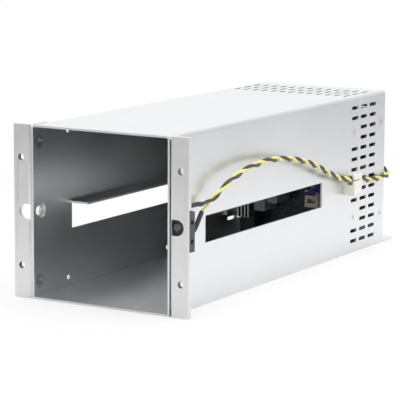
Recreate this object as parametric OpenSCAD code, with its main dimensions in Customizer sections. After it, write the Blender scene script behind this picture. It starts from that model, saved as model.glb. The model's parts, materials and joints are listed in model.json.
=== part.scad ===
// Subrack card cage, 2U high: a folded sheet cage with two front flanges, a backplane
// for a plug-in module and a switch that senses whether the module is in place.
// X runs across, Y runs back from the flanges' front face, Z = 0 is half height.

/* [Cage] */
// Width over the side walls
body_w = 80.6; // [76:0.2:110]
// Height over the floor and the top
body_h = 88.1; // [84:0.1:130]
// Depth from the front edge to the back of the rear panel
body_d = 236; // [226:1:320]
// Thickness of the sheet
sheet_t = 1; // [0.8:0.1:1.4]
// Outside radius of the folds along the top edges
fold_r = 2; // [1.6:0.1:3]
// Length of the floor's tail behind the rear panel
tail_len = 12; // [10:0.5:20]

/* [Front flanges] */
// How far a flange stands out from the side wall
flange_reach = 10.8; // [10:0.1:16]
// Thickness of the flange's face
flange_t = 2.5; // [2:0.1:3]
// Depth of the flange's leg along the side wall
leg_depth = 14; // [11:0.5:20]
// Thickness of the leg
leg_t = 2; // [1.8:0.1:2.5]
// Diameter of the fixing holes
fix_hole_d = 3.4; // [3:0.1:4.5]
// Height between the fixing holes
fix_pitch = 55; // [50:0.5:66]
// Distance from a fixing hole to the flange's outer edge
fix_edge = 4.4; // [3.5:0.1:5.5]
// Diameter of the D-hole beside the wall
d_hole_d = 7.8; // [7:0.1:8.4]
// Head diameter of the flange screws
flange_head_d = 7.5; // [7:0.1:8]
// Distance of a flange screw from the top or the bottom
flange_screw_edge = 8.5; // [7:0.1:12]
// Diameter of the sight hole in the left wall
sight_hole_d = 9; // [8:0.1:10]

/* [Windows] */
// Distance from the front edge to a window
window_y = 34; // [28:0.5:44]
// Length of a window
window_len = 125; // [90:1:128]
// Height of a window
window_h = 13; // [8:0.5:18]
// Width of the lip turned in at the window's top
lip_w = 10; // [4:0.5:14]

/* [Vents] */
// Length of a vent slot
slot_len = 8; // [6:0.5:9]
// Width of a vent slot
slot_w = 2; // [1.6:0.1:2.4]
// Distance between the rows of slots
slot_pitch = 5.8; // [5.4:0.1:6]
// Distance between the columns of slots
column_pitch = 11; // [10:0.5:12]
// Distance from the rear face to the last column's middle
vent_rear = 16; // [15:0.5:18]

/* [Backplane] */
// Distance from the rear face to the board's front
board_rear = 31; // [30:0.5:34]
// Thickness of the board
board_t = 1.6; // [1.2:0.1:2.4]
// Gap between the board and a side wall
board_gap = 2.8; // [2.5:0.1:4]
// Height of a bracket screw above or below the middle
bracket_z = 24; // [22:0.5:25]
// Thickness of a bracket
bracket_t = 1.5; // [1.2:0.1:1.6]

/* [Switch] */
// Length of the microswitch
switch_len = 19.8; // [19:0.1:21]
// Depth of the microswitch from front to terminals
switch_depth = 10.2; // [10:0.1:11]
// Thickness of the microswitch
switch_w = 6.4; // [6.2:0.1:6.8]
// Distance between the microswitch's mounting holes
switch_pitch = 9.5; // [9.2:0.1:10]
// Diameter of the microswitch's mounting holes
switch_hole_d = 2.4; // [2.3:0.05:2.6]
// Diameter of the plunger
plunger_d = 3.8; // [3.4:0.1:4]
// Travel of the plunger
plunger_travel = 1.6; // [1:0.1:1.8]

/* [Cable] */
// Diameter of the twisted pair
cable_d = 3.2; // [2.8:0.1:3.3]
// Diameter of a sleeve over a terminal
sleeve_d = 2.6; // [2.2:0.1:2.8]
// Length of the cable clip along the wall
clip_len = 9; // [7:0.5:14]
// Height of the cable clip
clip_h = 12; // [11:0.5:16]

/* [Hidden] */
$fn = 48;

eps = 0.01;          // overlap of a cutter with the face it opens
cut = 1;             // how far a cutter runs past a face
fit_gap = 0.1;       // clearance of a piece set into another
turn_gap = 0.05;     // radial clearance of a screw in its hole
slide_gap = 0.08;    // radial clearance of the plunger

hw = body_w / 2;
hh = body_h / 2;
wall_in = hw - sheet_t;
floor_top = -hh + sheet_t;

// Flanges and their screws
leg_corner_r = 1.8;
relief_face_t = 0.8;
flange_screw_y = flange_t + 2.7;
flange_screw_z = hh - flange_screw_edge;
flange_shank_d = 4;
flange_screw_len = sheet_t + leg_t;
fix_x = hw + flange_reach - fix_edge;
d_hole_x = hw + 4;
d_hole_web = 1;
sight_y = flange_t + 3.6;
sight_leg_d = sight_hole_d - 4;

// Windows
window_top = 0.1;
lip_fold_r = sheet_t + 0.4;

// Row of small holes near the top and the bottom of the left wall
pilot_d = 2.5;
pilot_y = 30.5;
pilot_pitch = 96.8;
pilot_edge = 6;

// Vents
vent_margin = 2;
side_rows = floor((body_h - 2 * vent_margin) / slot_pitch);
top_slots = floor((body_w - 2 * vent_margin) / slot_pitch);
vent_columns = 3;

// Tabs of the walls in the floor plate
tab_len = 8;
tab_y = 46;
tab_count = 3;
tab_gap = 0.1;
tail_hole_d = 3.4;
tail_hole_pitch = 60;

// Small countersunk screws of the brackets and the rear panel
small_head_d = 6;
small_shank_d = 3;
small_screw_len = 5;
recess_depth = 1;
flush_recess_depth = 0.4;
panel_flange = 10;
panel_screw_z = 26.5;
panel_side = wall_in - fit_gap;

// Board and brackets
board_y = body_d - board_rear;
board_back = board_y + board_t;
board_hw = wall_in - board_gap;
board_hh = hh - sheet_t - 3;
bracket_h = 10;
bracket_leg = 14;
bracket_face = 8;
bracket_screw_in = 8;
bracket_screw_y = board_y - bracket_screw_in;
board_screw_x = board_hw - 2.6;
board_screw_d = 2.5;
notch_w = 7;
notch_h = 9;
notch_z = -8;

// Pieces on the front of the board, as x, z of the middle, width, height, depth
module_z = 5;
module_w = 50;
module_h = 24;
module_depth = 15;
module_ways = 8;
module_way_pitch = 5.6;
module_contact_t = 0.8;
module_contact_h = 12;
module_contact_in = 2;
housing_w = 9.6;
housing_h = 20;
housing_depth = 11;
housing_gap = 0.3;
housing_edge = 2;
blade_x = -(wall_in - bracket_face - housing_gap - housing_w / 2);
housing_z = -(board_hh - housing_edge - housing_h / 2);
blade_z = housing_z + 3.5;
blade_count = 4;
blade_pitch = 2.2;
blade_t = 0.8;
blade_h = 9;
blade_len = 16;
capacitors = [[-16.5, -19.7, 7], [-8.2, -14.5, 6.4]];
capacitor_depth = 14;
capacitor_h = 10;
varistor_d = 8.5;
varistor_z = board_hh - 8;
plug_x = 17.5;
plug_z = -14.8;
plug_w = 8.4;
plug_h = 9.6;
plug_len = 9;
plug_way_pitch = 2.2;
plug_way_z = plug_z + 2.8;
header_depth = 6;

// Pieces on the back of the board
block_x = 19.5;
block_w = 23;
block_h = 13;
block_edge = 6.5;
block_z = board_hh - block_edge - block_h / 2;
block_corner_r = 0.6;
block_wall = 1.2;
block_seat = board_back + 12;
block_nose = 7;
block_poles = 3;
block_pitch = 7;
block_screw_d = 3.6;
block_screw_z = 2.8;
block_screw_in = 1.5;
block_screw_len = 4.5;
block_entry = 3.4;
block_entry_z = -3.4;
block_entry_depth = 8;
driver_slot_w = 0.7;
driver_slot_depth = 1;
port_margin = 0.5;
pair_x = 29.3;
pair_z = 0;
pair_pin_pitch = 2.5;
pair_plug_w = 6;
pair_plug_h = 4.6;
pair_plug_rear = board_back + 12.4;
pair_socket_depth = 5.7;
grommet_hole_d = 6.5;
grommet_d = 9;

// Microswitch, standing on the right wall behind the D-hole
switch_y = flange_t + 0.5;
switch_z = -3.4;
switch_rear = switch_y + switch_depth;
switch_mid_x = hw + switch_w / 2;
switch_shell = 1.1;
switch_hole_y = switch_rear - 2.4;
switch_room_y = switch_hole_y - switch_hole_d / 2 - 0.6;
switch_screw_d = switch_hole_d - 2 * turn_gap;
switch_head_d = 3.8;
plunger_z = 0;
plunger_front = 0.7;
plunger_foot_t = 0.8;
terminal_t = 0.5;
rear_terminal_z = -4.6;
notch_round_switch = 1;

// Cable clip
clip_y = 184.5;
clip_z = -3.8;
clip_corner_r = 1;
clip_pad_t = 0.8;
clip_base_t = 1.2;
clip_face_t = 1.2;
clip_room = cable_d + 0.6;
clip_room_z = -1.25;
clip_room_h = 5.1;
clip_slit = 0.7;

// Route of the twisted pair, from the switch round the rear corner to its plug
pair_route = [
    [44.5, 25.4, 6.8], [45.2, 29, 8.6], [46.4, 35, 11.8], [47.4, 40.5, 15], [48, 47, 17.9],
    [48.2, 55.5, 20.2], [48.2, 65, 21.7], [48.2, 76, 22.6], [48, 87, 22.6], [47.8, 98, 21.8],
    [47.4, 110.5, 20.1], [47, 123, 17.6], [46.5, 134, 14.6], [46, 144.5, 11.2],
    [45.6, 155, 7.3], [45.2, 165.5, 3.6], [44.7, 176, 0.8], [44.2, 187, -1],
    [44.1, 198, -2.4], [43.7, 209, -4.1], [43.1, 220, -5.1], [42.6, 229, -5.4],
    [42.4, 235.5, -5], [41.5, 239, -4.2], [39.2, 241.5, -3.2], [35.9, 242.5, -2.1],
    [32.6, 241.6, -1.1], [30.2, 239.3, -0.4], [29.3, 236, 0], [29.3, 231, 0],
    [29.3, 225, 0], [29.3, 219, 0]
];
// Routes of the two sleeves from the terminals to the start of the pair
sleeve_routes = [
    [[43.5, 14.6, -4.6], [43.6, 17, -4.2], [43.8, 19.4, -1.8], [44, 21.6, 1.4], [44.2, 24, 4.6]],
    [[43.5, 12, 8.6], [43.6, 16, 8.8], [44.1, 20, 8.8], [44.6, 24, 8.3]]
];
// Routes of the leads from the harness plug through the board's notch to the block
lead_d = 1.5;
lead_routes = [
    [[15.3, 189.6, -12], [15.4, 187, -11.7], [17.4, 184, -10.4], [22, 183, -9.4],
     [28, 186.4, -9.4], [32.4, 193, -10], [34.2, 200, -10.4], [34.6, 205.8, -10.4],
     [32.6, 211.5, -10.6], [26, 215.6, -9], [18, 216, -2], [13.6, 215.4, 8],
     [12.5, 215, 14], [12.5, 215, 20.3]],
    [[17.5, 189.6, -12], [17.6, 187.5, -11.7], [19.8, 185.4, -9.2], [23.6, 185.6, -7.2],
     [28, 188.6, -7.2], [31.2, 194.4, -7.8], [32.3, 200, -8.2], [32.4, 205.8, -8.2],
     [30.6, 210.8, -9], [25, 213.8, -8], [20, 214.4, 0], [19.5, 213.6, 10],
     [19.5, 213.6, 20.3]],
    [[19.7, 189.6, -12], [19.8, 187.8, -11.7], [21.4, 186.4, -9], [24.6, 187.8, -5.6],
     [28.6, 190.6, -4.8], [32.2, 195.4, -5.2], [34, 200.4, -5.8], [34.4, 205.8, -5.8],
     [32.4, 210.4, -6.6], [27.6, 212.6, -6.6], [23.4, 212, -2.6], [24.2, 211.4, 5],
     [26, 211.6, 12], [26.5, 211.6, 20.3]]
];

// ---- Helpers ----

// Draws its children at both side walls, the second copy mirrored
module both_sides() {
    children();
    mirror([1, 0, 0]) children();
}

// Draws its children at height z and at the same distance below the middle
module both_heights(z) {
    translate([0, 0, z]) children();
    translate([0, 0, -z]) children();
}

// Block between two corners
module span(low, high) {
    translate(low) cube(high - low);
}

// Round bar along X from x0 to x1
module bar_x(x0, x1, d) {
    translate([x0, 0, 0]) rotate([0, 90, 0]) cylinder(d = d, h = x1 - x0);
}

// Round bar along Y from y0 to y1
module bar_y(y0, y1, d) {
    translate([0, y0, 0]) rotate([-90, 0, 0]) cylinder(d = d, h = y1 - y0);
}

// Flat screw with a 90 degree head: head face at x = 0, tip towards +X
module countersunk_x(head_d, shank_d, len, gap = 0) {
    cone = (head_d - shank_d) / 2;
    rotate([0, 90, 0]) {
        cylinder(d1 = head_d + 2 * gap, d2 = shank_d + 2 * gap, h = cone);
        translate([0, 0, cone - eps]) cylinder(d = shank_d + 2 * gap, h = len - cone + eps);
    }
}

// Cross recess of a screw head whose face is at x = 0
module cross_recess(size, depth) {
    arm = size / 4;
    span([-eps, -size / 2, -arm / 2], [depth, size / 2, arm / 2]);
    span([-eps, -arm / 2, -size / 2], [depth, arm / 2, size / 2]);
}

// Obround slot along the first axis of its plane
module slot_2d() {
    square([slot_len - slot_w, slot_w], center = true);
    for (end = [-1, 1]) translate([end * (slot_len - slot_w) / 2, 0]) circle(d = slot_w, $fn = 24);
}

// Rectangle with rounded corners
module rounded_2d(w, h, r) {
    square([w - 2 * r, h], center = true);
    square([w, h - 2 * r], center = true);
    for (x = [-1, 1], y = [-1, 1]) translate([x * (w / 2 - r), y * (h / 2 - r)]) circle(r = r);
}

// Outline of a sheet box of half width w, from z0 up to z1, with round upper corners
module arch_2d(w, z0, z1, r) {
    translate([-w, z0]) square([2 * w, z1 - z0 - r]);
    translate([-w + r, z1 - 2 * r]) square([2 * (w - r), 2 * r]);
    for (side = [-1, 1]) translate([side * (w - r), z1 - r]) circle(r = r);
}

// Solid swept along a route: rings of the given number of sides, joined end to end
function unit(v) = v / norm(v);
function heading(route, i) =
    let (last = len(route) - 1)
    unit(route[min(i + 1, last)] - route[max(i - 1, 0)]);
function ring_at(p, dir, across, r, sides) =
    let (over = cross(dir, across))
    [for (k = [0 : sides - 1])
        p + r * (cos(360 * k / sides) * across + sin(360 * k / sides) * over)];
// The side direction of a ring, carried on from the ring before it without twist
function carried(across, dir) = unit(across - (across * dir) * dir);
function carried_along(route) =
    [for (i = 0, a = carried([0.3, 0.1, 1], heading(route, 0)); i < len(route);
          i = i + 1, a = i < len(route) ? carried(a, heading(route, i)) : a) a];
function smooth_point(a, b, c, d, t) =
    0.5 * (2 * b + (c - a) * t + (2 * a - 5 * b + 4 * c - d) * t * t
        + (3 * b - a - 3 * c + d) * t * t * t);
function smooth_route(route, steps) =
    let (last = len(route) - 1)
    concat([for (i = [0 : last - 1], s = [0 : steps - 1])
        smooth_point(route[max(i - 1, 0)], route[i], route[i + 1], route[min(i + 2, last)],
            s / steps)], [route[last]]);

module tube_along(route, d, sides = 8) {
    rings = len(route);
    across = carried_along(route);
    points = [for (i = [0 : rings - 1])
        each ring_at(route[i], heading(route, i), across[i], d / 2, sides)];
    sides_faces = [for (i = [0 : rings - 2], k = [0 : sides - 1])
        [i * sides + k, i * sides + (k + 1) % sides,
         (i + 1) * sides + (k + 1) % sides, (i + 1) * sides + k]];
    first = [for (k = [sides - 1 : -1 : 0]) k];
    last = [for (k = [0 : sides - 1]) (rings - 1) * sides + k];
    polyhedron(points, concat(sides_faces, [first, last]), convexity = 6);
}

// ---- Sheet metal ----

// Vent slots of one side wall, in Y and Z; rows left free beside the bracket screws
module side_vents_2d(first_row) {
    for (column = [0 : vent_columns - 1], row = [first_row : side_rows - 1]) {
        y = body_d - vent_rear - (vent_columns - 1 - column) * column_pitch;
        z = (row - (side_rows - 1) / 2) * slot_pitch;
        beside_screw = column == 0 && abs(abs(z) - bracket_z) < slot_pitch;
        if (!beside_screw) translate([y, z]) slot_2d();
    }
}

module top_vents_2d() {
    for (column = [0 : vent_columns - 1], i = [0 : top_slots - 1]) {
        y = body_d - vent_rear - column * column_pitch;
        translate([(i - (top_slots - 1) / 2) * slot_pitch, y]) rotate(90) slot_2d();
    }
}

// Right window as a cutter through the wall, up to the fold of its lip
module window_cut() {
    span([wall_in - cut, window_y, window_top - window_h],
         [hw + cut, window_y + window_len, window_top + lip_fold_r]);
}

// Lip turned in from the top of the right window, with its fold
module window_lip() {
    translate([0, window_y + window_len, 0]) rotate([90, 0, 0]) linear_extrude(window_len) {
        intersection() {
            translate([hw - lip_fold_r, window_top + lip_fold_r]) difference() {
                circle(r = lip_fold_r);
                circle(r = lip_fold_r - sheet_t);
            }
            translate([hw - lip_fold_r, window_top]) square(lip_fold_r);
        }
        translate([wall_in - lip_w, window_top])
            square([lip_w + sheet_t - lip_fold_r, sheet_t]);
    }
}

// Tongues under a side wall that stand in the floor plate's slots
module floor_tabs(gap) {
    step = (body_d - 2 * tab_y) / (tab_count - 1);
    for (i = [0 : tab_count - 1])
        translate([0, tab_y + i * step, 0])
            span([wall_in - gap, -tab_len / 2 - gap, -hh - (gap > 0 ? cut : 0)],
                 [hw + gap, tab_len / 2 + gap, floor_top + eps]);
}

module hood() {
    color([0.84, 0.85, 0.87]) difference() {
        union() {
            difference() {
                translate([0, body_d, 0]) rotate([90, 0, 0]) linear_extrude(body_d)
                    difference() {
                        arch_2d(hw, floor_top, hh, fold_r);
                        translate([0, -cut])
                            arch_2d(wall_in, floor_top, hh + cut - sheet_t, fold_r - sheet_t);
                    }
                both_sides() window_cut();
            }
            both_sides() {
                window_lip();
                floor_tabs(0);
            }
        }
        // vents
        translate([wall_in - cut, 0, 0]) rotate([90, 0, 90])
            linear_extrude(sheet_t + 2 * cut) side_vents_2d(0);
        translate([-hw - cut, 0, 0]) rotate([90, 0, 90])
            linear_extrude(sheet_t + 2 * cut) side_vents_2d(1);
        translate([0, 0, hh - sheet_t - cut]) linear_extrude(sheet_t + 2 * cut) top_vents_2d();
        // countersinks of the flange, switch, bracket and panel screws
        both_sides() {
            both_heights(flange_screw_z) translate([wall_in, flange_screw_y, 0])
                countersunk_x(flange_head_d, flange_shank_d, flange_screw_len + cut, turn_gap);
            both_heights(bracket_z) translate([hw, bracket_screw_y, 0]) mirror([1, 0, 0])
                countersunk_x(small_head_d, small_shank_d, small_screw_len, turn_gap);
            both_heights(panel_screw_z) translate([hw, body_d - panel_flange / 2, 0])
                mirror([1, 0, 0])
                countersunk_x(small_head_d, small_shank_d, small_screw_len, turn_gap);
        }
        for (z = [-1, 1] * switch_pitch / 2)
            translate([wall_in, switch_hole_y, switch_z + z])
                countersunk_x(switch_head_d, switch_screw_d, sheet_t + cut, turn_gap);
        // sight hole and row of small holes in the left wall
        translate([0, sight_y, 0]) bar_x(-hw - cut, -wall_in + cut, sight_hole_d);
        for (i = [0 : 2]) translate([0, pilot_y + i * pilot_pitch, 0])
            both_heights(hh - pilot_edge) bar_x(-hw - cut, -wall_in + cut, pilot_d);
    }
}

module floor_plate() {
    color([0.8, 0.81, 0.83]) difference() {
        span([-hw, 0, -hh], [hw, body_d + tail_len, floor_top]);
        both_sides() {
            floor_tabs(tab_gap);
            translate([tail_hole_pitch / 2, body_d + tail_len / 2, -hh - cut])
                cylinder(d = tail_hole_d, h = sheet_t + 2 * cut);
        }
    }
}

module rear_panel() {
    color([0.8, 0.81, 0.83]) difference() {
        union() {
            span([-panel_side, body_d - sheet_t, floor_top + fit_gap],
                 [panel_side, body_d, hh - sheet_t - fit_gap]);
            both_sides() span([panel_side - sheet_t, body_d - panel_flange, -hh + fold_r + fit_gap],
                              [panel_side, body_d - sheet_t + eps, hh - fold_r - fit_gap]);
        }
        both_sides() both_heights(panel_screw_z) translate([hw, body_d - panel_flange / 2, 0])
            mirror([1, 0, 0]) countersunk_x(small_head_d, small_shank_d, small_screw_len, turn_gap);
        translate([block_x, body_d - sheet_t - cut, block_z]) rotate([-90, 0, 0])
            linear_extrude(sheet_t + 2 * cut)
                rounded_2d(block_w + 2 * port_margin, block_h + 2 * port_margin, port_margin);
        translate([pair_x, 0, pair_z])
            bar_y(body_d - sheet_t - cut, body_d + cut, grommet_hole_d);
    }
}

// ---- Flanges ----

// L-section of the right flange, in X and Y, with a rounded inner front corner
module flange_2d() {
    difference() {
        union() {
            translate([hw, 0]) square([flange_reach, flange_t]);
            translate([hw, 0]) square([leg_t, leg_depth]);
        }
        difference() {
            translate([hw - eps, -eps]) square(leg_corner_r + eps);
            translate([hw + leg_corner_r, leg_corner_r]) circle(r = leg_corner_r);
        }
    }
}

module flange_blank() {
    difference() {
        translate([0, 0, -hh]) linear_extrude(body_h) flange_2d();
        both_heights(fix_pitch / 2) translate([fix_x, 0, 0])
            bar_y(-cut, flange_t + cut, fix_hole_d);
        intersection() {
            translate([0, -cut, 0]) union() {
                translate([d_hole_x, 0, plunger_z]) bar_y(0, flange_t + cut, d_hole_d);
                span([hw + d_hole_web, 0, plunger_z - d_hole_d / 2],
                     [d_hole_x, flange_t + cut, plunger_z + d_hole_d / 2]);
            }
            span([hw + d_hole_web, -2 * cut, -hh], [hw + flange_reach, flange_t + cut, hh]);
        }
        both_heights(flange_screw_z) translate([wall_in, flange_screw_y, 0])
            countersunk_x(flange_head_d, flange_shank_d, flange_screw_len + cut, turn_gap);
    }
}

module left_flange() {
    color([0.86, 0.86, 0.86]) mirror([1, 0, 0]) difference() {
        flange_blank();
        translate([0, sight_y, 0]) bar_x(hw - cut, hw + leg_t + cut, sight_leg_d);
    }
}

module right_flange() {
    color([0.86, 0.86, 0.86]) difference() {
        flange_blank();
        span([hw - cut, flange_t, switch_z - switch_len / 2 - notch_round_switch],
             [hw + leg_t + cut, leg_depth + cut, switch_z + switch_len / 2 + 2 * sleeve_d]);
        span([hw + leg_t, relief_face_t, switch_z - switch_len / 2 - notch_round_switch],
             [hw + flange_reach + cut, flange_t + cut, switch_z + switch_len / 2 + sleeve_d]);
    }
}

module flange_screws() {
    color([0.75, 0.75, 0.74]) both_sides() both_heights(flange_screw_z)
        translate([wall_in, flange_screw_y, 0]) difference() {
            countersunk_x(flange_head_d, flange_shank_d, flange_screw_len);
            cross_recess(flange_head_d * 0.55, recess_depth);
        }
}

// ---- Backplane and its carriers ----

module backplane_brackets() {
    color([0.72, 0.73, 0.75]) both_sides() both_heights(bracket_z) difference() {
        union() {
            span([wall_in - bracket_t, board_y - bracket_leg, -bracket_h / 2],
                 [wall_in, board_y, bracket_h / 2]);
            span([wall_in - bracket_face, board_y - bracket_t, -bracket_h / 2],
                 [wall_in, board_y, bracket_h / 2]);
        }
        translate([hw, bracket_screw_y, 0]) mirror([1, 0, 0])
            countersunk_x(small_head_d, small_shank_d, small_screw_len, turn_gap);
        translate([board_screw_x, 0, 0])
            bar_y(board_y - bracket_t - cut, board_y + cut, board_screw_d + 2 * turn_gap);
    }
}

module wall_screws(y, z) {
    color([0.75, 0.75, 0.74]) both_sides() both_heights(z) translate([hw, y, 0])
        mirror([1, 0, 0]) difference() {
            countersunk_x(small_head_d, small_shank_d, small_screw_len);
            cross_recess(small_head_d * 0.4, flush_recess_depth);
        }
}

module bracket_screws() {
    wall_screws(bracket_screw_y, bracket_z);
}

module panel_screws() {
    wall_screws(body_d - panel_flange / 2, panel_screw_z);
}

module backplane() {
    color([0.03, 0.25, 0.24]) difference() {
        span([-board_hw, board_y, -board_hh], [board_hw, board_back, board_hh]);
        span([board_hw - notch_w, board_y - cut, notch_z - notch_h / 2],
             [board_hw + cut, board_back + cut, notch_z + notch_h / 2]);
        both_sides() both_heights(bracket_z) translate([board_screw_x, 0, 0])
            bar_y(board_y - cut, board_back + cut, board_screw_d + 2 * turn_gap);
    }
}

module backplane_screws() {
    head_h = 1.6;
    head_d = 4.6;
    color([0.75, 0.75, 0.74]) both_sides() both_heights(bracket_z)
        translate([board_screw_x, 0, 0]) difference() {
            union() {
                bar_y(board_back, board_back + head_h, head_d);
                bar_y(board_y - bracket_t - 1, board_back + eps, board_screw_d);
            }
            translate([0, board_back + head_h, 0]) rotate([0, 0, -90]) cross_recess(head_d * 0.5, recess_depth);
        }
}

// ---- On the front of the board ----

// Places one contact way of the module connector at the middle of its height
module each_module_way() {
    for (i = [0 : module_ways - 1])
        translate([(i - (module_ways - 1) / 2) * module_way_pitch, 0, module_z]) children();
}

module module_connector() {
    way_w = 2.8;
    way_h = 17;
    floor_t = 3;
    color([0.1, 0.1, 0.11]) difference() {
        translate([0, board_y, module_z]) rotate([90, 0, 0]) linear_extrude(module_depth)
            rounded_2d(module_w, module_h, 1.2);
        each_module_way() span([-way_w / 2, board_y - module_depth - cut, -way_h / 2],
                               [way_w / 2, board_y - floor_t, way_h / 2]);
        each_module_way()
            span([-module_contact_t / 2 - fit_gap, board_y - floor_t - cut,
                  -module_contact_h / 2 - turn_gap],
                 [module_contact_t / 2 + fit_gap, board_y + cut,
                  module_contact_h / 2 + turn_gap]);
    }
}

module module_contacts() {
    color([0.8, 0.78, 0.7]) each_module_way()
        span([-module_contact_t / 2, board_y - module_depth + module_contact_in,
              -module_contact_h / 2],
             [module_contact_t / 2, board_y, module_contact_h / 2]);
}

// Places one blade of the small power connector
module each_blade() {
    for (i = [0 : blade_count - 1])
        translate([blade_x + (i - (blade_count - 1) / 2) * blade_pitch, 0, blade_z]) children();
}

module blade_housing() {
    color([0.1, 0.1, 0.11]) difference() {
        span([blade_x - housing_w / 2, board_y - housing_depth, housing_z - housing_h / 2],
             [blade_x + housing_w / 2, board_y, housing_z + housing_h / 2]);
        each_blade()
            span([-blade_t / 2 - turn_gap, board_y - housing_depth - cut, -blade_h / 2 - turn_gap],
                 [blade_t / 2 + turn_gap, board_y + cut, blade_h / 2 + turn_gap]);
    }
}

module power_blades() {
    color([0.8, 0.78, 0.72]) each_blade()
        span([-blade_t / 2, board_y - blade_len, -blade_h / 2], [blade_t / 2, board_y, blade_h / 2]);
}

module filter_capacitors() {
    color([0.55, 0.56, 0.58]) for (c = capacitors)
        translate([c[0], board_y, c[1]]) rotate([90, 0, 0]) linear_extrude(capacitor_depth)
            rounded_2d(c[2], capacitor_h, 0.8);
}

module varistor() {
    body_t = 4;
    body_y = board_y - varistor_d / 2 - 1.4;
    lead_gap = 1.8;
    color([0.5, 0.2, 0.12]) translate([board_hw - body_t + 0.6, 0, varistor_z]) {
        translate([0, body_y, 0]) rotate([0, 90, 0]) cylinder(d = varistor_d, h = body_t);
        for (z = [-lead_gap, lead_gap]) translate([body_t / 2, 0, z])
            bar_y(body_y, board_y, 0.7, $fn = 16);
    }
}

// Places one contact of the harness plug and its header
module each_plug_way() {
    for (i = [-1 : 1]) translate([plug_x + i * plug_way_pitch, 0, plug_way_z]) children();
}

module harness_header() {
    pin_len = 4;
    rim = 0.8;
    color([0.83, 0.79, 0.68]) {
        span([plug_x - plug_w / 2 - rim, board_y - header_depth, plug_z - plug_h / 2 - rim],
             [plug_x + plug_w / 2 + rim, board_y, plug_z + plug_h / 2 + rim]);
        each_plug_way() bar_y(board_y - header_depth - pin_len, board_y - header_depth + eps, 1);
    }
}

module harness_plug() {
    latch_w = 5.2;
    latch_h = 2.4;
    back = board_y - header_depth;
    front = back - plug_len;
    color([0.86, 0.8, 0.68]) difference() {
        span([plug_x - plug_w / 2, front, plug_z - plug_h / 2],
             [plug_x + plug_w / 2, back, plug_z + plug_h / 2]);
        span([plug_x - latch_w / 2, front - cut, plug_z - latch_h],
             [plug_x + latch_w / 2, front + 4, plug_z]);
        each_plug_way() bar_y(back - 5, back + cut, 1 + 2 * turn_gap);
    }
}

module harness_leads() {
    color([0.25, 0.24, 0.62]) for (route = lead_routes)
        tube_along(smooth_route(route, 2), lead_d);
}

// ---- On the back of the board and in the rear panel ----

// Bar of the terminal block's section from y0 to y1, drawn in by an inset all round
module block_bar(y0, y1, inset = 0) {
    translate([block_x, y0, block_z]) rotate([-90, 0, 0]) linear_extrude(y1 - y0)
        rounded_2d(block_w - 2 * inset, block_h - 2 * inset, block_corner_r);
}

// Draws its children at each pole of the terminal block
module each_pole() {
    for (i = [0 : block_poles - 1])
        translate([block_x + (i - (block_poles - 1) / 2) * block_pitch, 0, block_z]) children();
}

module terminal_header() {
    color([0.05, 0.4, 0.34]) difference() {
        block_bar(board_back, block_seat);
        block_bar(block_seat - block_nose - fit_gap, block_seat + cut, block_wall);
    }
}

// Plug half of the block: its nose fills the header, its rear face is flush with the panel
module terminal_block() {
    color([0.05, 0.4, 0.34]) difference() {
        union() {
            block_bar(block_seat + fit_gap, body_d);
            block_bar(block_seat - block_nose, block_seat + fit_gap + eps, block_wall + fit_gap);
        }
        each_pole() {
            translate([0, 0, block_screw_z]) bar_y(
                body_d - block_screw_in - block_screw_len, body_d + cut, block_screw_d + 2 * fit_gap);
            span([-block_entry / 2, body_d - block_entry_depth, block_entry_z - block_entry / 2],
                 [block_entry / 2, body_d + cut, block_entry_z + block_entry / 2]);
        }
    }
}

module terminal_screws() {
    head = body_d - block_screw_in;
    color([0.78, 0.76, 0.7]) each_pole() translate([0, 0, block_screw_z]) difference() {
        bar_y(head - block_screw_len, head, block_screw_d);
        span([-driver_slot_w / 2, head - driver_slot_depth, -block_screw_d],
             [driver_slot_w / 2, head + cut, block_screw_d]);
    }
}

module switch_header() {
    shell = 0.8;
    header_depth = 7;
    pin = 0.6;
    color([0.93, 0.92, 0.88]) translate([pair_x, 0, pair_z]) {
        difference() {
            span([-pair_plug_w / 2 - fit_gap - shell, board_back,
                  -pair_plug_h / 2 - fit_gap - shell],
                 [pair_plug_w / 2 + fit_gap + shell, board_back + header_depth,
                  pair_plug_h / 2 + fit_gap + shell]);
            span([-pair_plug_w / 2 - fit_gap, board_back + 1.2, -pair_plug_h / 2 - fit_gap],
                 [pair_plug_w / 2 + fit_gap, board_back + header_depth + cut,
                  pair_plug_h / 2 + fit_gap]);
        }
        for (x = [-1, 1] * pair_pin_pitch / 2)
            span([x - pin / 2, board_back + 1, -pin / 2], [x + pin / 2, board_back + 6, pin / 2]);
    }
}

module switch_plug() {
    socket = 0.8;
    plug_front = board_back + 1.3;
    color([0.93, 0.92, 0.88]) translate([pair_x, 0, pair_z]) difference() {
        span([-pair_plug_w / 2, plug_front, -pair_plug_h / 2],
             [pair_plug_w / 2, pair_plug_rear, pair_plug_h / 2]);
        for (x = [-1, 1] * pair_pin_pitch / 2)
            span([x - socket / 2, plug_front - cut, -socket / 2],
                 [x + socket / 2, plug_front + pair_socket_depth, socket / 2]);
    }
}

module cable_grommet() {
    rim = 1.2;
    color([0.12, 0.12, 0.12]) translate([pair_x, 0, pair_z]) difference() {
        union() {
            bar_y(body_d - sheet_t - rim, body_d - sheet_t, grommet_d);
            bar_y(body_d - sheet_t - eps, body_d + eps, grommet_hole_d);
            bar_y(body_d, body_d + rim, grommet_d);
        }
        bar_y(body_d - sheet_t - rim - cut, body_d + rim + cut, cable_d + 2 * turn_gap);
    }
}

// ---- Microswitch ----

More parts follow.
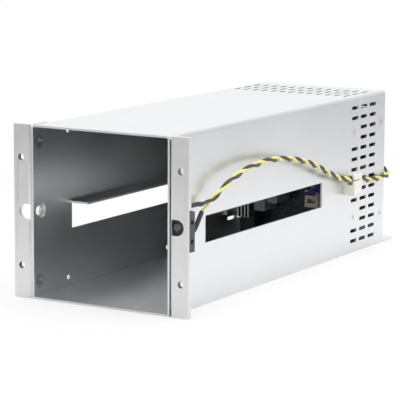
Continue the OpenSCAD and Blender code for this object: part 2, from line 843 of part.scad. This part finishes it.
// Housing half between two X planes, with its room for the works and its openings
module switch_half(x0, x1, room_x0, room_x1) {
    low = switch_z - switch_len / 2;
    high = switch_z + switch_len / 2;
    difference() {
        span([x0, switch_y, low], [x1, switch_rear, high]);
        span([room_x0, switch_y + switch_shell, low + switch_shell],
             [room_x1, switch_room_y, high - switch_shell]);
        translate([switch_mid_x, 0, plunger_z])
            bar_y(switch_y - cut, switch_y + switch_shell + cut, plunger_d + 2 * slide_gap);
        for (z = [-1, 1] * switch_pitch / 2)
            translate([0, switch_hole_y, switch_z + z]) bar_x(x0 - cut, x1 + cut, switch_hole_d);
        terminal_room();
    }
}

// Slots in which the terminals stand in the housing
module terminal_room() {
    g = turn_gap;
    span([switch_mid_x - terminal_t / 2 - g, switch_room_y - cut, rear_terminal_z - 1.3 - g],
         [switch_mid_x + terminal_t / 2 + g, switch_rear + cut, rear_terminal_z + 1.3 + g]);
    span([switch_mid_x - terminal_t / 2 - g, switch_room_y - 2.6 - g,
          switch_z + switch_len / 2 - 2],
         [switch_mid_x + terminal_t / 2 + g, switch_room_y - 0.4 + g,
          switch_z + switch_len / 2 + cut]);
}

module switch_case() {
    color([0.3, 0.3, 0.31])
        switch_half(hw, switch_mid_x, hw + switch_shell, switch_mid_x + cut);
}

module switch_cover() {
    color([0.33, 0.33, 0.34])
        switch_half(switch_mid_x, hw + switch_w, switch_mid_x - cut, hw + switch_w - switch_shell);
}

module switch_plunger() {
    foot_y = switch_y + switch_shell + fit_gap;
    dome_h = 0.8;
    color([0.42, 0.42, 0.43]) translate([switch_mid_x, 0, plunger_z]) {
        bar_y(plunger_front + dome_h, foot_y + eps, plunger_d);
        translate([0, plunger_front, 0]) rotate([-90, 0, 0])
            rotate_extrude() intersection() {
                translate([0, 2.7]) circle(r = 2.7, $fn = 96);
                square([plunger_d / 2, dome_h + eps]);
            }
        span([-switch_w / 2 + switch_shell + fit_gap, foot_y, -3],
             [switch_w / 2 - switch_shell - fit_gap, foot_y + plunger_foot_t, 3]);
    }
}

module switch_blade() {
    blade_t = 0.3;
    blade_y = switch_room_y - 0.6;
    color([0.8, 0.6, 0.35])
        span([switch_mid_x - 1.4, blade_y, switch_z - switch_len / 2 + switch_shell + 0.3],
             [switch_mid_x + 1.4, blade_y + blade_t, switch_z + switch_len / 2 - 3.8]);
}

module switch_terminals() {
    color([0.8, 0.78, 0.72]) {
        span([switch_mid_x - terminal_t / 2, switch_room_y - 0.3 + fit_gap, rear_terminal_z - 1.3],
             [switch_mid_x + terminal_t / 2, switch_rear + 3.4, rear_terminal_z + 1.3]);
        span([switch_mid_x - terminal_t / 2, switch_room_y - 2.6, switch_z + switch_len / 2 - 1.9],
             [switch_mid_x + terminal_t / 2, switch_room_y - 0.4, switch_z + switch_len / 2 + 3]);
        span([switch_mid_x - terminal_t / 2, switch_room_y - 2.6, switch_z + switch_len / 2 + 1],
             [switch_mid_x + terminal_t / 2, switch_rear + 0.6, switch_z + switch_len / 2 + 3]);
    }
}

module switch_screws() {
    screw_len = sheet_t + switch_w - 2;
    color([0.75, 0.75, 0.74]) for (z = [-1, 1] * switch_pitch / 2)
        translate([wall_in, switch_hole_y, switch_z + z]) difference() {
            countersunk_x(switch_head_d, switch_screw_d, screw_len);
            cross_recess(switch_head_d * 0.5, flush_recess_depth);
        }
}

// ---- Cable ----

module terminal_sleeves() {
    color([0.2, 0.2, 0.21]) for (route = sleeve_routes)
        difference() {
            tube_along(smooth_route(route, 2), sleeve_d);
            switch_terminals();
        }
}

module switch_cable() {
    color([0.85, 0.78, 0.3]) tube_along(smooth_route(pair_route, 2), cable_d);
}

module clip_outline() {
    translate([clip_y + clip_len / 2, clip_z]) rounded_2d(clip_len, clip_h, 1);
}

module clip_pad() {
    color([0.9, 0.88, 0.82]) translate([hw, 0, 0]) rotate([90, 0, 90])
        linear_extrude(clip_pad_t) clip_outline();
}

// Block on the pad with a channel for the pair, and a slit through which the pair snaps in
module cable_clip() {
    base_x = hw + clip_pad_t;
    room_x = base_x + clip_base_t;
    face_x = room_x + clip_room;
    color([0.93, 0.92, 0.86]) difference() {
        translate([0, clip_y + clip_len, 0]) rotate([90, 0, 0]) linear_extrude(clip_len)
            translate([(base_x + face_x + clip_face_t) / 2, clip_z])
                rounded_2d(face_x + clip_face_t - base_x, clip_h, clip_corner_r);
        translate([0, clip_y + clip_len + cut, 0]) rotate([90, 0, 0])
            linear_extrude(clip_len + 2 * cut) translate([room_x + clip_room / 2, clip_room_z])
                rounded_2d(clip_room, clip_room_h, clip_corner_r);
        span([face_x - cut, clip_y - cut, clip_room_z - clip_slit / 2],
             [face_x + clip_face_t + cut, clip_y + clip_len + cut, clip_room_z + clip_slit / 2]);
    }
}

hood();
floor_plate();
rear_panel();
left_flange();
right_flange();
flange_screws();
backplane_brackets();
bracket_screws();
panel_screws();
backplane();
backplane_screws();
module_connector();
module_contacts();
blade_housing();
power_blades();
filter_capacitors();
varistor();
harness_header();
harness_plug();
harness_leads();
terminal_header();
terminal_block();
terminal_screws();
switch_header();
switch_plug();
cable_grommet();
switch_case();
switch_cover();
switch_plunger();
switch_blade();
switch_terminals();
switch_screws();
terminal_sleeves();
switch_cable();
cable_clip();
clip_pad();
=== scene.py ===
"""Looks of the subrack card cage: materials, broken edges, the twisted pair, stage, light and camera."""

import json
import math

import bmesh
import bpy
from mathutils import Matrix, Vector


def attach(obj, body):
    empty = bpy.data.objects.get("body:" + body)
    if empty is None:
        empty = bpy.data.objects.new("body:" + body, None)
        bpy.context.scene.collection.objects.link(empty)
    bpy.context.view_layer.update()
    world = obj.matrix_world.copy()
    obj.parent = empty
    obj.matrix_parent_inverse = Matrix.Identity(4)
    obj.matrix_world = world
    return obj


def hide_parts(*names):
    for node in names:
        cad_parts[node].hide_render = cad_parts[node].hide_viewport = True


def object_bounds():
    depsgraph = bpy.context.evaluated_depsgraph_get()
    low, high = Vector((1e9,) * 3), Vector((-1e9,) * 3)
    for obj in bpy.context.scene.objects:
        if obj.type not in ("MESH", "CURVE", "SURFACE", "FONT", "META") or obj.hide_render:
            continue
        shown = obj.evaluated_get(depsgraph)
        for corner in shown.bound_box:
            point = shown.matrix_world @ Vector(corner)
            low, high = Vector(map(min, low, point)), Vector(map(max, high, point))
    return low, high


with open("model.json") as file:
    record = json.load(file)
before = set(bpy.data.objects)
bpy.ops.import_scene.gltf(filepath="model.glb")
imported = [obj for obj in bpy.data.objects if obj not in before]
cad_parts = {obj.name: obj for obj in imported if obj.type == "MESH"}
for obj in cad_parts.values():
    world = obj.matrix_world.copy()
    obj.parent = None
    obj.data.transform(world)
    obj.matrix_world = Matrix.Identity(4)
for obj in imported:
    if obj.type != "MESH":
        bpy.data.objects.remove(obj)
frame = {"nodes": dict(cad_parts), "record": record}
cad_low, cad_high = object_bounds()
MM = 0.001
NOISE_RANGE = (0.3, 0.7)                # where most values of a noise texture lie


# ---- Shader nodes ----

def node(tree, kind, inputs=None, **settings):
    """Adds a shader node. Each input is a value, or another node's output to link."""
    made = tree.nodes.new("ShaderNode" + kind)
    for name, value in settings.items():
        setattr(made, name, value)
    for name, value in (inputs or {}).items():
        if isinstance(value, bpy.types.NodeSocket):
            tree.links.new(value, made.inputs[name])
        else:
            made.inputs[name].default_value = value
    return made


def calculate(tree, operation, *values):
    """Result of a Math node on one or two values."""
    return node(tree, "Math", dict(enumerate(values)), operation=operation).outputs[0]


def mix_colours(tree, share, first, second):
    """Colour between two, by the share of the second."""
    return node(tree, "Mix", {0: share, 6: first, 7: second}, data_type="RGBA").outputs[2]


def mix_shaders(tree, share, first, second):
    """Shader between two, by the share of the second."""
    return node(tree, "MixShader", {0: share, 1: first, 2: second}).outputs[0]


def map_range(tree, value, source, target=(0.0, 1.0)):
    """Maps a value from one range to another, and holds it at the ends."""
    return node(tree, "MapRange", {"Value": value, "From Min": source[0], "From Max": source[1],
                                   "To Min": target[0], "To Max": target[1]}).outputs[0]


def noise(tree, size_mm, stretch=(1, 1, 1), detail=3.0, shift=0.0):
    """Soft noise whose spots are about size_mm across, longer along the axes with a small stretch."""
    place = node(tree, "TexCoord").outputs["Object"]
    mapped = node(tree, "Mapping", {"Vector": place, "Scale": stretch, "Location": (shift,) * 3})
    texture = node(tree, "TexNoise", {"Vector": mapped.outputs[0], "Scale": 1 / (size_mm * MM),
                                      "Detail": detail})
    return texture.outputs[0]


def remap(tree, value, low, high):
    """Turns a noise value into the range from low to high."""
    return map_range(tree, value, NOISE_RANGE, (low, high))


def ramp(tree, value, stops):
    """Colour ramp from (position, colour) pairs."""
    made = node(tree, "ValToRGB", {"Fac": value})
    elements = made.color_ramp.elements
    while len(elements) < len(stops):
        elements.new(0.5)
    for element, (position, colour) in zip(elements, stops):
        element.position = position
        element.color = (*colour, 1)
    return made.outputs["Color"]


def bump(tree, height, depth_mm, strength):
    """Bump normal from a height value."""
    made = node(tree, "Bump", {"Height": height, "Distance": depth_mm * MM, "Strength": strength})
    return made.outputs["Normal"]


def material(name, build, **values):
    """Principled material: values go on the shader's own sockets, and build links the rest."""
    made = bpy.data.materials.new(name)
    made.use_nodes = True
    tree = made.node_tree
    tree.nodes.clear()
    shader = node(tree, "BsdfPrincipled")
    for socket, value in values.items():
        shader.inputs[socket.replace("_", " ")].default_value = value
    for socket, output in build(tree).items():
        tree.links.new(output, shader.inputs[socket])
    node(tree, "OutputMaterial", {"Surface": shader.outputs[0]})
    return made


def shade(colour, factor):
    """The colour made darker or lighter by a factor."""
    return tuple(channel * factor for channel in colour)


# ---- Materials ----

# How a grain is stretched: along the depth, upright or not at all
ALONG_Y, ALONG_Z, ALL_ROUND = (1, 0.04, 1), (1, 1, 0.04), (1, 1, 1)
BLACK = (0.018, 0.018, 0.02)
# Painted shade: dark colour for the walls of the flanges' fixing holes, where shade falls
HOLE_SHADE_COLOUR = (0.16, 0.16, 0.155, 1)
HOLE_MARGIN_MM = 0.03                   # how far past the fixing holes' radius the painted shade reaches


def sheet_metal(tree):
    """Satin zinc-plated sheet: faint clouds in tone and gloss, and a very fine grain along the depth."""
    clouds = noise(tree, 30)
    grain = noise(tree, 1.1, stretch=(1, 0.02, 1), detail=2)
    colour = ramp(tree, remap(tree, clouds, 0, 1),
                  [(0.0, (0.772, 0.797, 0.805)), (1.0, (0.8, 0.826, 0.834))])
    rough = calculate(tree, "ADD", remap(tree, clouds, 0.32, 0.38), remap(tree, grain, -0.015, 0.015))
    return {"Base Color": colour, "Roughness": rough, "Normal": bump(tree, grain, 0.0006, 0.5)}


def brushed(low, high, rough, direction, size_mm=0.3, depth_mm=0.004):
    """Brushed or turned metal with its grain along one direction."""
    def build(tree):
        grain = noise(tree, size_mm, stretch=direction, detail=4)
        clouds = noise(tree, 9, shift=5)
        tone = calculate(tree, "ADD", remap(tree, grain, 0, 0.5), remap(tree, clouds, 0, 0.5))
        return {"Base Color": ramp(tree, tone, [(0.0, low), (1.0, high)]),
                "Roughness": remap(tree, clouds, *rough),
                "Normal": bump(tree, grain, depth_mm, 0.7)}
    return build


def moulded(colour, rough=(0.38, 0.5), texture_mm=0.25, depth_mm=0.012, spread=0.08):
    """Moulded plastic: fine spark-eroded texture, with a slightly uneven tone and gloss."""
    def build(tree):
        texture = noise(tree, texture_mm, detail=2)
        clouds = noise(tree, 6, shift=2)
        tone = ramp(tree, remap(tree, clouds, 0, 1),
                    [(0.0, shade(colour, 1 - spread)), (1.0, shade(colour, 1 + spread))])
        return {"Base Color": tone, "Roughness": remap(tree, clouds, *rough),
                "Normal": bump(tree, texture, depth_mm, 0.6)}
    return build


def circuit_board(tree):
    """Green solder mask over copper tracks, made near black as painted shade for the dark inside of the cage:
    the tracks stand a little proud and look lighter.
    """
    place = node(tree, "TexCoord").outputs["Object"]
    flat = node(tree, "Mapping", {"Vector": place, "Rotation": (math.radians(90), 0, 0)})
    tracks = node(tree, "TexBrick", {"Vector": flat.outputs[0], "Scale": 1 / (4 * MM),
                                     "Mortar Size": 0.06, "Mortar Smooth": 0.1, "Bias": 0.0,
                                     "Brick Width": 1.1, "Row Height": 0.33},
                  offset=0.37, offset_frequency=3, squash=0.6, squash_frequency=4).outputs["Fac"]
    clouds = noise(tree, 7)
    # Partly painted shade: the mask's own dark green, made near black for the shade inside the cage
    plain = ramp(tree, remap(tree, clouds, 0, 1),
                 [(0.0, (0.003, 0.02, 0.017)), (1.0, (0.005, 0.028, 0.024))])
    return {"Base Color": mix_colours(tree, tracks, plain, (0.006, 0.038, 0.03, 1)),
            "Roughness": remap(tree, clouds, 0.22, 0.34), "Normal": bump(tree, tracks, 0.03, 0.8)}


def foam(tree):
    """Pale foam with fine cells in its tone and relief."""
    place = node(tree, "TexCoord").outputs["Object"]
    cells = node(tree, "TexVoronoi", {"Vector": place, "Scale": 1 / (0.35 * MM)}).outputs["Distance"]
    return {"Base Color": ramp(tree, cells, [(0.0, (0.8, 0.77, 0.68)), (0.7, (0.66, 0.63, 0.54))]),
            "Normal": bump(tree, cells, 0.08, 0.9)}


def flange_metal(tree):
    """Satin anodised bar with its grain upright; the walls of the fixing holes get a dark colour as painted
    shade.
    """
    links = brushed((0.74, 0.745, 0.74), (0.82, 0.82, 0.81), (0.3, 0.38), ALONG_Z)(tree)
    holes = next(mount for mount in frame["record"]["mounts"] if mount["name"] == "front_flanges")["dims"]
    place = node(tree, "SeparateXYZ", {"Vector": node(tree, "TexCoord").outputs["Object"]})
    offsets = []
    for axis, spacing in (("X", holes["spacing_x_mm"]), ("Z", holes["spacing_y_mm"])):
        folded = calculate(tree, "ABSOLUTE", place.outputs[axis])
        offsets.append(calculate(tree, "SUBTRACT", folded, spacing / 2 * MM))
    apart = node(tree, "CombineXYZ", {"X": offsets[0], "Y": offsets[1]})
    distance = node(tree, "VectorMath", {0: apart.outputs[0]}, operation="LENGTH").outputs["Value"]
    # Painted shade: the walls of the fixing holes are coloured dark
    hole_shade_mask = calculate(tree, "LESS_THAN", distance, (holes["hole_r_mm"] + HOLE_MARGIN_MM) * MM)
    return links | {"Base Color": mix_colours(tree, hole_shade_mask, links["Base Color"], HOLE_SHADE_COLOUR)}


finishes = {
    "sheet_steel": material("sheet_steel", sheet_metal, Metallic=1.0),
    "flange_aluminium": material("flange_aluminium", flange_metal, Metallic=1.0),
    "zinc_screw": material(
        "zinc_screw", brushed((0.55, 0.56, 0.56), (0.72, 0.72, 0.71), (0.22, 0.34), ALL_ROUND), Metallic=1.0),
    "bracket_steel": material(
        "bracket_steel", brushed((0.58, 0.59, 0.6), (0.7, 0.71, 0.72), (0.28, 0.4), ALONG_Z), Metallic=1.0),
    "circuit_board": material("circuit_board", circuit_board, Specular_IOR_Level=0.5),
    "black_plastic": material("black_plastic", moulded(BLACK)),
    "tinned_contact": material(
        "tinned_contact", brushed((0.66, 0.65, 0.6), (0.82, 0.81, 0.77), (0.16, 0.28), ALONG_Y),
        Metallic=1.0),
    "grey_plastic": material("grey_plastic", moulded((0.3, 0.31, 0.33), (0.28, 0.36))),
    "red_lacquer": material("red_lacquer", moulded((0.3, 0.06, 0.03), (0.2, 0.3), 2.5, 0.1), Coat_Weight=0.3),
    "beige_nylon": material("beige_nylon", moulded((0.66, 0.6, 0.47), (0.36, 0.46))),
    "blue_insulation": material("blue_insulation", moulded((0.055, 0.045, 0.36), (0.3, 0.42))),
    "green_plastic": material("green_plastic", moulded((0.012, 0.22, 0.17))),
    "white_nylon": material("white_nylon", moulded((0.76, 0.75, 0.7), (0.36, 0.46)), Subsurface_Weight=0.1),
    "black_rubber": material("black_rubber", moulded(BLACK, (0.55, 0.7))),
    "switch_plastic": material("switch_plastic", moulded((0.06, 0.06, 0.064), (0.42, 0.52))),
    "plunger_plastic": material("plunger_plastic", moulded((0.11, 0.11, 0.11), (0.35, 0.45))),
    "contact_brass": material(
        "contact_brass", brushed((0.6, 0.43, 0.2), (0.76, 0.58, 0.32), (0.22, 0.32), ALONG_Z), Metallic=1.0),
    "sleeve_plastic": material("sleeve_plastic", moulded((0.035, 0.035, 0.038), (0.42, 0.55), 1.2, 0.05)),
    "clip_nylon": material("clip_nylon", moulded((0.88, 0.855, 0.76), (0.34, 0.44), spread=0.04),
                           Subsurface_Weight=0.15),
    "foam": material("foam", foam, Roughness=0.8),
}
YELLOW_WIRE = material(
    "yellow_wire", moulded((0.82, 0.77, 0.31), (0.3, 0.42), 1.5, 0.02, 0.05), Coat_Weight=0.1)
BLACK_WIRE = material("black_wire", moulded((0.062, 0.052, 0.038), (0.3, 0.42), 1.5, 0.02))

# Screws that lie flush in the walls are as bright as the sheet round them
FLUSH_SCREWS = ("bracket_screws", "panel_screws")
FLUSH_SCREW = material(
    "flush_screw", brushed((0.74, 0.75, 0.75), (0.81, 0.82, 0.82), (0.3, 0.38), ALL_ROUND), Metallic=1.0)


# ---- Edges and finishes of the CAD nodes ----

# Nodes made of straight-sided tubes, which two subdivisions make round
TUBES = ("harness_leads", "terminal_sleeves")
# Width in mm of the broken edges of crisp nodes
EDGES = {
    "left_flange": 0.15, "right_flange": 0.15, "flange_screws": 0.3,
    "switch_case": 0.25, "switch_cover": 0.25, "switch_plunger": 0.2, "cable_clip": 0.35,
    "terminal_block": 0.3, "terminal_header": 0.2, "harness_plug": 0.25, "harness_header": 0.25,
    "module_connector": 0.3, "blade_housing": 0.3, "filter_capacitors": 0.3, "varistor": 0.8,
    "switch_header": 0.2, "switch_plug": 0.2,
}


JOIN_D = 0.005 * MM                     # corners closer together than this become one
EDGE_ANGLE = math.radians(50)           # edges sharper than this are broken


def finish_cad_nodes():
    """Gives the CAD nodes the finish of their slot, breaks crisp edges and makes the tubes round."""
    slot_of = {part["node"]: part["material_slot"] for part in frame["record"]["subparts"]}
    for name, item in frame["nodes"].items():
        finish = FLUSH_SCREW if name in FLUSH_SCREWS else finishes.get(slot_of[name])
        if finish:
            item.data.materials.clear()
            item.data.materials.append(finish)
        if name in EDGES or name in TUBES:
            item.modifiers.new("join", "WELD").merge_threshold = JOIN_D
        if name in EDGES:
            edge = item.modifiers.new("edge", "BEVEL")
            edge.width = EDGES[name] * MM
            edge.segments = 2
            edge.limit_method = "ANGLE"
            edge.angle_limit = EDGE_ANGLE
        if name in TUBES:
            item.modifiers.new("round", "SUBSURF").render_levels = 2


# ---- Meshes ----

def smooth_line(points, steps):
    """Catmull-Rom line through the points, as in the CAD route."""
    line, last = [], len(points) - 1
    for i in range(last):
        a, b = points[max(i - 1, 0)], points[i]
        c, d = points[i + 1], points[min(i + 2, last)]
        for s in range(steps):
            t = s / steps
            line.append(0.5 * (2 * b + (c - a) * t + (2 * a - 5 * b + 4 * c - d) * t * t
                               + (3 * b - a - 3 * c + d) * t ** 3))
    return line + [points[last]]


def even_line(line, step):
    """The same line with points a fixed step apart."""
    along = [0.0]
    for a, b in zip(line, line[1:]):
        along.append(along[-1] + (b - a).length)
    count = max(2, round(along[-1] / step))
    made, i = [], 0
    for k in range(count + 1):
        at = along[-1] * k / count
        while i < len(line) - 2 and along[i + 1] < at:
            i += 1
        span = along[i + 1] - along[i]
        made.append(line[i].lerp(line[i + 1], (at - along[i]) / span if span else 0))
    return made


def frames_along(line):
    """Side and upper directions at each point, carried along the line without twist."""
    made, side = [], Vector((0.3, 0.1, 1.0))
    for i in range(len(line)):
        ahead = (line[min(i + 1, len(line) - 1)] - line[max(i - 1, 0)]).normalized()
        side = (side - side.dot(ahead) * ahead).normalized()
        made.append((side.copy(), ahead.cross(side)))
    return made


def add_tube(mesh, line, radius, sides, slot):
    """Adds a closed round tube along the line to a bmesh, in one material slot."""
    rings = []
    for point, (side, over) in zip(line, frames_along(line)):
        ring = []
        for k in range(sides):
            turn = 2 * math.pi * k / sides
            ring.append(mesh.verts.new(point + radius * (math.cos(turn) * side + math.sin(turn) * over)))
        rings.append(ring)
    faces = []
    for low, high in zip(rings, rings[1:]):
        for k in range(sides):
            faces.append(mesh.faces.new((low[k], low[(k + 1) % sides], high[(k + 1) % sides], high[k])))
    faces.append(mesh.faces.new(rings[0][::-1]))
    faces.append(mesh.faces.new(rings[-1]))
    for face in faces:
        face.smooth = True
        face.material_index = slot


def mesh_object(name, mesh):
    """Makes an object in the scene from a bmesh, and frees the bmesh."""
    data = bpy.data.meshes.new(name)
    mesh.normal_update()
    mesh.to_mesh(data)
    mesh.free()
    made = bpy.data.objects.new(name, data)
    bpy.context.scene.collection.objects.link(made)
    return made


# ---- Twisted pair ----

# The route of the pair, from the switch round the rear corner to its plug on the board
PAIR_ROUTE = [
    (.0445, .0254, .0068), (.0452, .029, .0086), (.0464, .035, .0118), (.0474, .0405, .015),
    (.048, .047, .0179), (.0482, .0555, .0202), (.0482, .065, .0217), (.0482, .076, .0226),
    (.048, .087, .0226), (.0478, .098, .0218), (.0474, .1105, .0201), (.047, .123, .0176),
    (.0465, .134, .0146), (.046, .1445, .0112), (.0456, .155, .0073), (.0452, .1655, .0036),
    (.0447, .176, .0008), (.0442, .187, -.001), (.0441, .198, -.0024), (.0437, .209, -.0041),
    (.0431, .22, -.0051), (.0426, .229, -.0054), (.0424, .2355, -.005), (.0415, .239, -.0042),
    (.0392, .2415, -.0032), (.0359, .2425, -.0021), (.0326, .2416, -.0011), (.0302, .2393, -.0004),
    (.0293, .236, 0), (.0293, .231, 0), (.0293, .225, 0), (.0293, .219, 0),
]
ROUTE_STEPS = 8                         # steps between two points of the route
CENTRE_STEP = 0.9 * MM                  # distance between two points of the centreline
PAIR_D = 3.2 * MM
WIRE_D = 1.62 * MM
WIRE_SIDES = 10
TWIST_PITCH = (21 * MM, 14.5 * MM)      # near the switch, and from halfway on
TWIST_START = math.radians(150)
SPREAD = 7 * MM                         # length over which the wires part at either end
# Where each wire starts in its sleeve, and how far its way of the plug is from the plug's middle
YELLOW_ENDS = (Vector((.0442, .0241, .0046)), Vector((-1.25 * MM, 0, 0)))
BLACK_ENDS = (Vector((.0446, .0241, .0083)), Vector((1.25 * MM, 0, 0)))


def fading(t):
    """1 at t = 0, falling smoothly to 0 at t = 1 and beyond."""
    t = min(1.0, t)
    return (1 - t) ** 2 * (1 + 2 * t)


def strand(centre, turn, start, end):
    """One wire: it leaves its sleeve, winds round the centreline and ends in its way of the plug."""
    radius = (PAIR_D - WIRE_D) / 2
    total = sum((b - a).length for a, b in zip(centre, centre[1:]))
    line, along, angle = [], 0.0, turn
    for i, (point, (side, over)) in enumerate(zip(centre, frames_along(centre))):
        if i:
            step = (point - centre[i - 1]).length
            slack = fading(2 * along / total)
            angle += 2 * math.pi * step / (slack * TWIST_PITCH[0] + (1 - slack) * TWIST_PITCH[1])
            along += step
        wound = radius * (math.cos(angle) * side + math.sin(angle) * over)
        near_start = fading(along / SPREAD)
        near_end = fading((total - along) / SPREAD)
        parted = near_start * (start - centre[0]) + near_end * (end - centre[-1])
        line.append(point + (1 - near_start - near_end) * wound + parted)
    return line


def twisted_pair():
    """The yellow and the black wire, wound round each other along the route."""
    route = [Vector(p) for p in PAIR_ROUTE]
    centre = even_line(smooth_line(route, ROUTE_STEPS), CENTRE_STEP)
    mesh = bmesh.new()
    for slot, (start, way) in enumerate((YELLOW_ENDS, BLACK_ENDS)):
        wire = strand(centre, TWIST_START + slot * math.pi, start, route[-1] + way)
        add_tube(mesh, wire, WIRE_D / 2, WIRE_SIDES, slot)
    pair = mesh_object("twisted_pair", mesh)
    pair.data.materials.append(YELLOW_WIRE)
    pair.data.materials.append(BLACK_WIRE)
    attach(pair, "cage")
    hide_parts("switch_cable")


# ---- Stage, light and camera ----

CENTRE = (cad_low + cad_high) / 2
WHITE = (1, 1, 1, 1)

FLOOR_HALF = 6.0
FLOOR_DROP = 0.0002                     # just below the cage, so that the two faces don't meet
FLOOR_SHIFT = (0.02, 0.08)              # middle of the painted pool of light on the floor, from the cage's centre
LIGHT_POOL_FADE = (0.15, 0.75)               # distances from that middle over which the painted pool of light fades to grey
# Painted light: floor colours at the middle of the painted pool of light and far off
FLOOR_LIGHT_POOL_TONES = [(0.0, (0.885, 0.87, 0.875)), (1.0, (0.508, 0.5, 0.506))]
SHADOW_FADE = (0.15, 0.4)               # distances between which the shadow fades out for the camera
WHITE_SHARE = (0.6, 1.0)                # share of plain white that the camera sees at those distances

BRIGHT_SIDE = (-0.51, 0.86, 0.1)        # towards the bright part of the surround
SURROUND_TONES = [(0.0, (0.5, 0.5, 0.505)), (0.26, (0.56, 0.56, 0.565)),
                  (0.74, (0.74, 0.74, 0.745)), (0.97, (1.06, 1.06, 1.06))]

CAMERA_PLACE = (0.555824, -0.839184, 0.176479)
CAMERA_DEGREES = (30.7116, 9.4038, -0.2545)      # azimuth, downward tilt and roll of its line of sight
SENSOR_MM = 36
LENS_MM = 187.51


def studio_floor():
    """Floor with a painted pool of light, pale near the cage and greyer further off; to the camera it is
    white with a soft shadow.
    """
    mesh = bmesh.new()
    bmesh.ops.create_grid(mesh, x_segments=1, y_segments=1, size=FLOOR_HALF)
    floor = mesh_object("floor", mesh)
    floor.location = (CENTRE.x + FLOOR_SHIFT[0], CENTRE.y + FLOOR_SHIFT[1], cad_low.z - FLOOR_DROP)
    finish = bpy.data.materials.new("floor")
    finish.use_nodes = True
    tree = finish.node_tree
    tree.nodes.clear()
    place = node(tree, "TexCoord").outputs["Object"]
    distance = node(tree, "VectorMath", {0: place}, operation="LENGTH").outputs["Value"]
    # Painted pool of light: the floor's colour turns grey with distance from its middle
    tone = ramp(tree, map_range(tree, distance, LIGHT_POOL_FADE), FLOOR_LIGHT_POOL_TONES)
    paint = node(tree, "BsdfDiffuse", {"Color": tone})
    glow = node(tree, "Emission", {"Color": WHITE, "Strength": 1.0})
    seen = node(tree, "LightPath").outputs["Is Camera Ray"]
    share = calculate(tree, "MULTIPLY", seen, map_range(tree, distance, SHADOW_FADE, WHITE_SHARE))
    mixed = mix_shaders(tree, share, paint.outputs[0], glow.outputs[0])
    node(tree, "OutputMaterial", {"Surface": mixed})
    floor.data.materials.append(finish)


def studio_world():
    """Soft surround: white to the camera; otherwise grey in front, and bright behind on the left."""
    world = bpy.data.worlds.new("studio")
    bpy.context.scene.world = world
    world.use_nodes = True
    tree = world.node_tree
    tree.nodes.clear()
    way = node(tree, "TexCoord").outputs["Generated"]
    toward = node(tree, "VectorMath", {0: way, 1: BRIGHT_SIDE}, operation="DOT_PRODUCT").outputs["Value"]
    tone = ramp(tree, map_range(tree, toward, (-1.0, 1.0)), SURROUND_TONES)
    soft = node(tree, "Background", {"Color": tone, "Strength": 1.0})
    plain = node(tree, "Background", {"Color": WHITE, "Strength": 1.0})
    seen = node(tree, "LightPath").outputs["Is Camera Ray"]
    mixed = mix_shaders(tree, seen, soft.outputs[0], plain.outputs[0])
    node(tree, "OutputWorld", {"Surface": mixed})


def softbox(name, place, size, watts):
    """Square area lamp that looks at the middle of the cage."""
    data = bpy.data.lights.new(name, "AREA")
    data.shape = "SQUARE"
    data.size = size
    data.energy = watts
    lamp = bpy.data.objects.new(name, data)
    lamp.location = place
    lamp.rotation_euler = (CENTRE - Vector(place)).to_track_quat("-Z", "Y").to_euler()
    bpy.context.scene.collection.objects.link(lamp)


def camera():
    """Camera at the photograph's angle of view."""
    azimuth, tilt, roll = (math.radians(angle) for angle in CAMERA_DEGREES)
    data = bpy.data.cameras.new("camera")
    data.sensor_width = SENSOR_MM
    data.lens = LENS_MM
    data.clip_start = 0.05
    data.clip_end = 20
    ahead = Vector((-math.sin(azimuth) * math.cos(tilt), math.cos(azimuth) * math.cos(tilt), -math.sin(tilt)))
    right = ahead.cross(Vector((0, 0, 1))).normalized()
    up = right.cross(ahead)
    turned_right = right * math.cos(roll) - up * math.sin(roll)
    turned_up = up * math.cos(roll) + right * math.sin(roll)
    turn = Matrix((turned_right, turned_up, -ahead)).transposed().to_4x4()
    made = bpy.data.objects.new("camera", data)
    made.matrix_world = Matrix.Translation(CAMERA_PLACE) @ turn
    bpy.context.scene.collection.objects.link(made)
    bpy.context.scene.camera = made


finish_cad_nodes()
twisted_pair()
studio_floor()
studio_world()
softbox("overhead", place=(0.1, -0.1, 1.4), size=1.2, watts=14)
softbox("side", place=(1.3, 0.3, 0.7), size=1.0, watts=5)
camera()
bpy.context.scene.view_settings.view_transform = "Standard"
